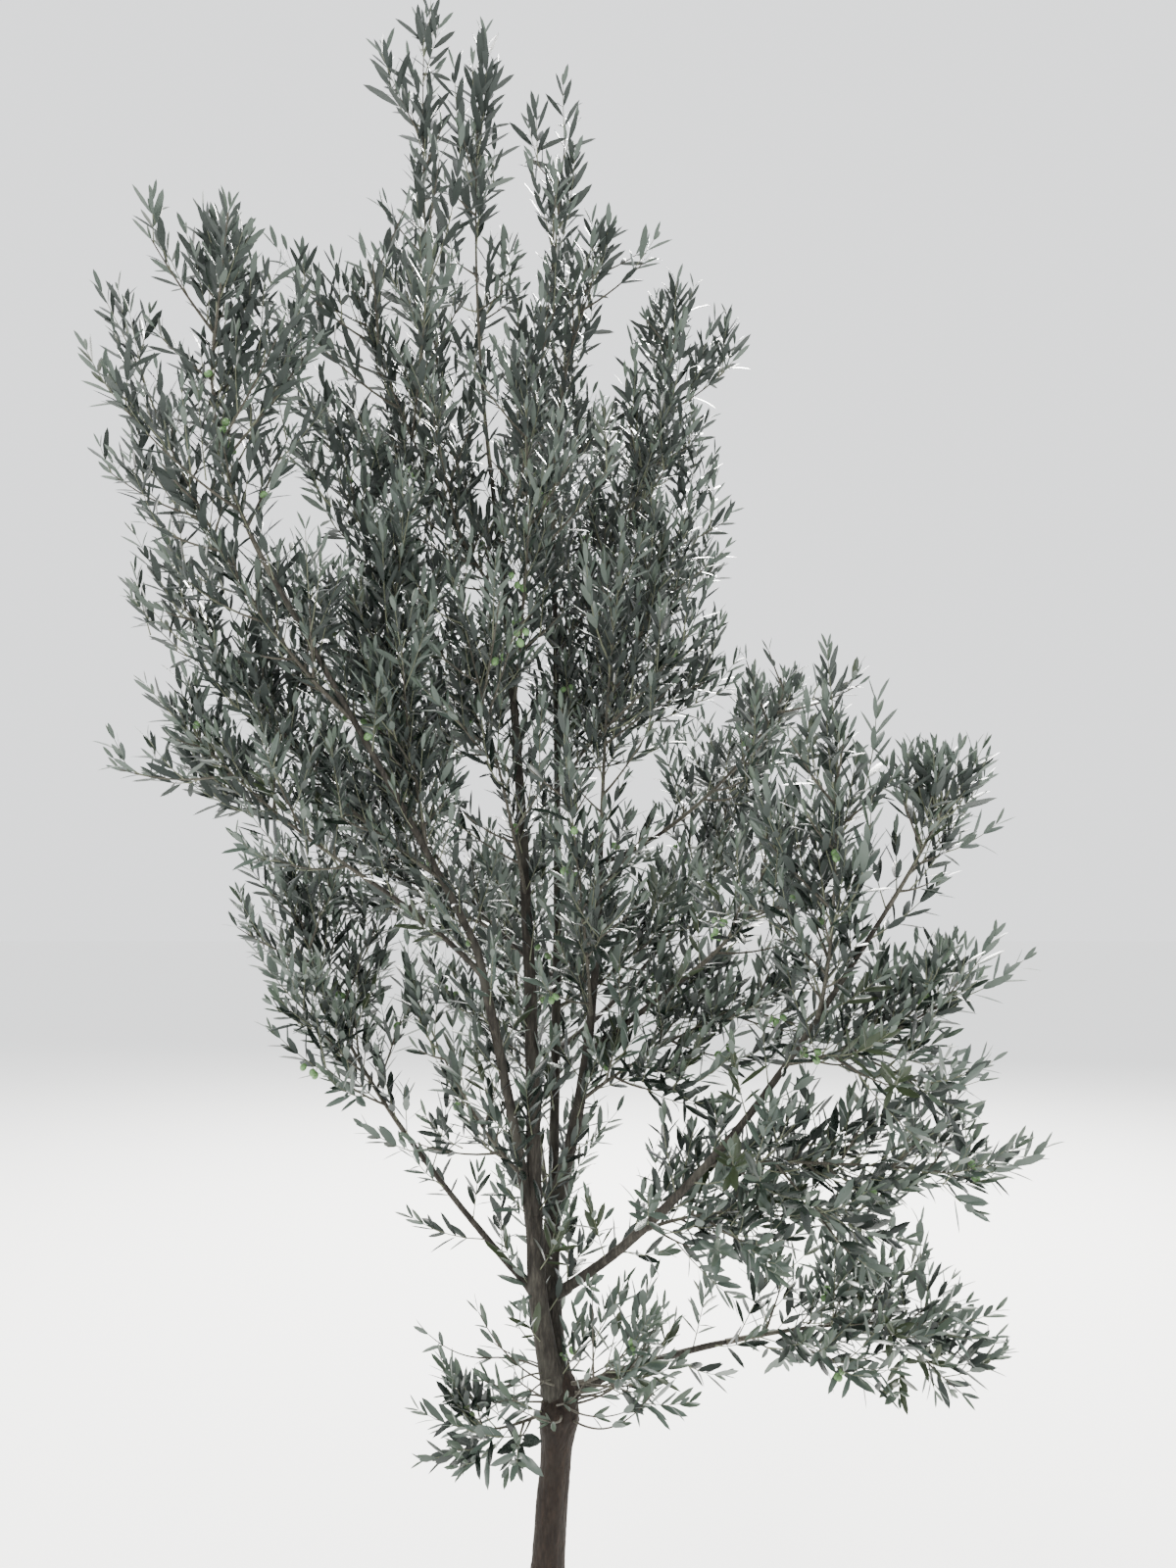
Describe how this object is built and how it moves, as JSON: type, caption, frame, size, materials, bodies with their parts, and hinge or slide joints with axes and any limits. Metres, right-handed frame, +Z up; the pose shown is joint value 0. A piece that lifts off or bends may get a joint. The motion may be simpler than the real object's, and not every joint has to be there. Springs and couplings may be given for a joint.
{
  "type": "olive tree",
  "caption": "Young open-grown olive tree: a short trunk that forks into upright boughs with narrow grey-green leaves and a few green olives.",
  "frame": {"origin": "middle of the flat cut under the trunk, at ground level", "axes": "+Z up, along the tree's height; -Y towards the viewer of the picture, +X to that viewer's right"},
  "size_m": [2.0055, 1.6735, 4.0567],
  "materials": {
    "trunk_bark": "rough grey-brown bark with fine upright fissures",
    "bough_bark": "smooth grey bark",
    "foliage": "leathery grey-green leaves, silvery beneath"
  },
  "bodies": {
    "root": {"trunk": "trunk_bark", "left_stem": "bough_bark", "right_stem": "bough_bark", "bough_a_lower": "bough_bark", "bough_a_upper": "bough_bark", "bough_b": "bough_bark", "bough_back_high": "bough_bark", "bough_back_left": "bough_bark", "bough_back_low": "bough_bark", "bough_back_right": "bough_bark", "bough_c": "bough_bark", "bough_c_side": "bough_bark", "bough_d": "bough_bark", "bough_d_right": "bough_bark", "bough_e_lower": "bough_bark", "bough_e_upper": "bough_bark", "bough_f": "bough_bark", "bough_left_hidden": "bough_bark", "bough_left_low": "bough_bark", "foliage_left_stem": "foliage", "foliage_a_inner": "foliage", "foliage_a_left": "foliage", "foliage_a_low": "foliage", "foliage_a_top": "foliage", "foliage_b_back": "foliage", "foliage_b_front": "foliage", "foliage_b_left": "foliage", "foliage_b_middle": "foliage", "foliage_back_high": "foliage", "foliage_back_left": "foliage", "foliage_back_low": "foliage", "foliage_back_middle": "foliage", "foliage_back_right": "foliage", "foliage_back_side": "foliage", "foliage_c_low": "foliage", "foliage_c_middle": "foliage", "foliage_c_right": "foliage", "foliage_c_side": "foliage", "foliage_c_top": "foliage", "foliage_d_front": "foliage", "foliage_d_low": "foliage", "foliage_d_right": "foliage", "foliage_d_top": "foliage", "foliage_e_front": "foliage", "foliage_e_hanging": "foliage", "foliage_e_low": "foliage", "foliage_e_side": "foliage", "foliage_e_top": "foliage", "foliage_f": "foliage", "foliage_fork_left": "foliage", "foliage_fork_right": "foliage", "foliage_left_hidden": "foliage", "foliage_left_low": "foliage", "foliage_top_left": "foliage", "foliage_top_middle": "foliage", "foliage_top_right": "foliage"}
  },
  "joints": []
}
